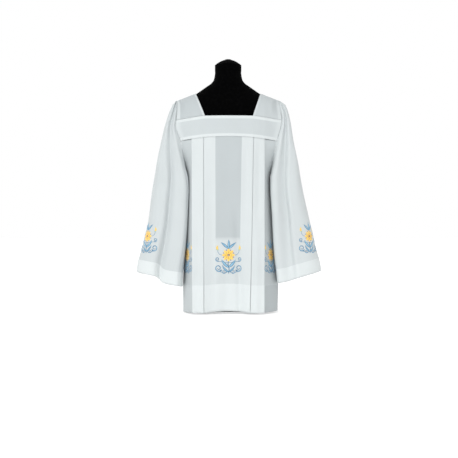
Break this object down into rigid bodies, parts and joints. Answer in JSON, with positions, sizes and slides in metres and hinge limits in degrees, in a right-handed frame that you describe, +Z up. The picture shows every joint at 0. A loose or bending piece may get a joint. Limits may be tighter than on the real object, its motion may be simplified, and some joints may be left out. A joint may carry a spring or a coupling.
{
  "type": "surplice on a dress form",
  "caption": "Pleated surplice with a square neck, banded yoke and wide open bell sleeves, hanging on a limbless dress form that stands on its own low base.",
  "frame": {"origin": "on the surface that the part stands on, under the middle of the neck", "axes": "+Z up, -Y towards the front of the garment, +X towards the wearer's left"},
  "size_m": [0.8362, 0.2656, 1.147],
  "materials": {
    "cloth": "matte plain weave, slightly sheer where it is one layer",
    "form_cover": "matte black jersey",
    "form_knob": "satin",
    "stand_paint": "satin powder coat",
    "thread_blue": "satin stitch with a soft sheen",
    "thread_sky": "satin stitch with a soft sheen",
    "thread_gold": "satin stitch with a soft sheen"
  },
  "bodies": {
    "root": {"yoke_shoulder_left": "cloth", "yoke_shoulder_right": "cloth", "yoke_band_front": "cloth", "yoke_band_back": "cloth", "skirt_front": "cloth", "skirt_back": "cloth", "sleeve_left": "cloth", "sleeve_right": "cloth", "form_torso": "form_cover", "form_cap": "form_cover", "form_knob": "form_knob", "stand_flange": "stand_paint", "stand_pole": "stand_paint", "stand_base": "stand_paint"}
  },
  "joints": []
}
